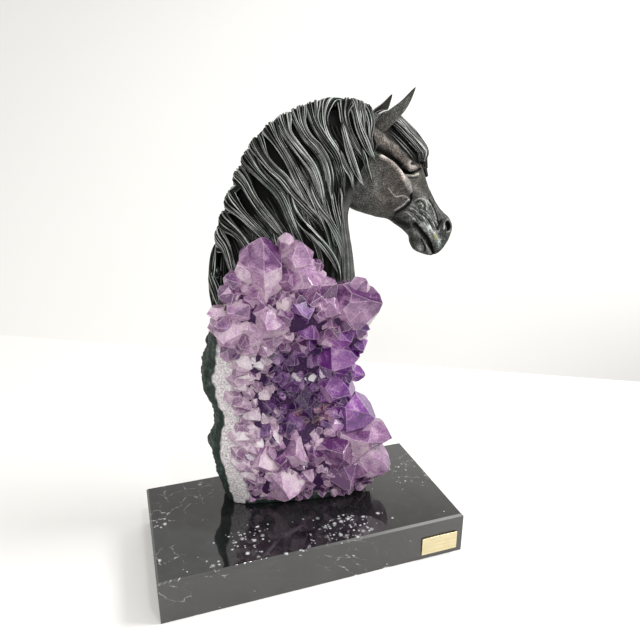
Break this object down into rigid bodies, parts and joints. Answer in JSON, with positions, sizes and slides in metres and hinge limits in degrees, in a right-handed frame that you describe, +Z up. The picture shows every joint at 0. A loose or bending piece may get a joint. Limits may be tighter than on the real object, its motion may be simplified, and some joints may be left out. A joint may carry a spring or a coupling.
{
  "type": "horse head sculpture on a geode base",
  "caption": "Cast horse-head bust with a long mane, rising from a natural amethyst geode on a polished black marble plinth.",
  "frame": {"origin": "centre of the plinth's underside", "axes": "+Z up, +X the way the horse looks along the plinth's length, -Y the front with the plate and the mane"},
  "size_m": [0.2163, 0.0991, 0.2978],
  "materials": {
    "marble": "polished",
    "brass": "satin",
    "amethyst": "gloss",
    "dark_resin": "satin"
  },
  "bodies": {
    "root": {"plinth": "marble", "maker_plate": "brass", "amethyst_geode": "amethyst", "horse_bust": "dark_resin"}
  },
  "joints": []
}
